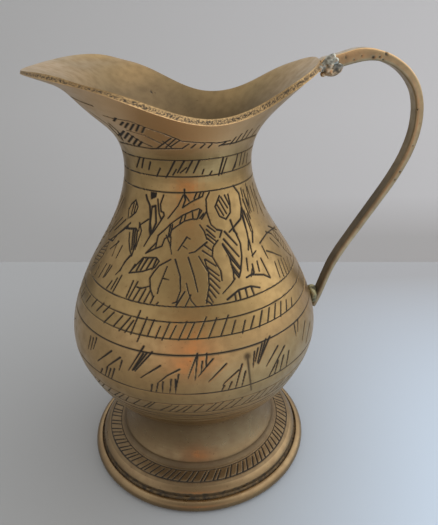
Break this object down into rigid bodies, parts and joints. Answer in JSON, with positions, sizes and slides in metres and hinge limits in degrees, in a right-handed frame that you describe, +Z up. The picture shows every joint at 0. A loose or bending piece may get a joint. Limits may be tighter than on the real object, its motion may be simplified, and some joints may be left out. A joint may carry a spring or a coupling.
{
  "type": "kamandal water jug",
  "caption": "Small engraved brass water jug with a turned foot, round belly, drawn-in neck, wide flared mouth with a pouring lip and a flat strap handle.",
  "frame": {"origin": "centre of the foot's base circle, on the belly's axis, on the surface it stands on", "axes": "+Z up along the belly's axis, -X out over the pouring lip, +X to the handle"},
  "size_m": [0.0981, 0.0713, 0.1187],
  "materials": {
    "engraved_brass": "satin worn brass with darkened hand-cut engraving",
    "turned_brass": "turned satin brass with a darkened groove",
    "strap_brass": "filed brass strap, unlacquered",
    "brazing_metal": "dull greyish brazing metal, lumpy"
  },
  "bodies": {
    "root": {"upper_body": "engraved_brass", "lower_body": "engraved_brass", "foot": "turned_brass", "handle": "strap_brass", "girth_braze": "brazing_metal", "foot_braze": "brazing_metal", "handle_rim_braze": "brazing_metal", "handle_belly_braze": "brazing_metal"}
  },
  "joints": []
}
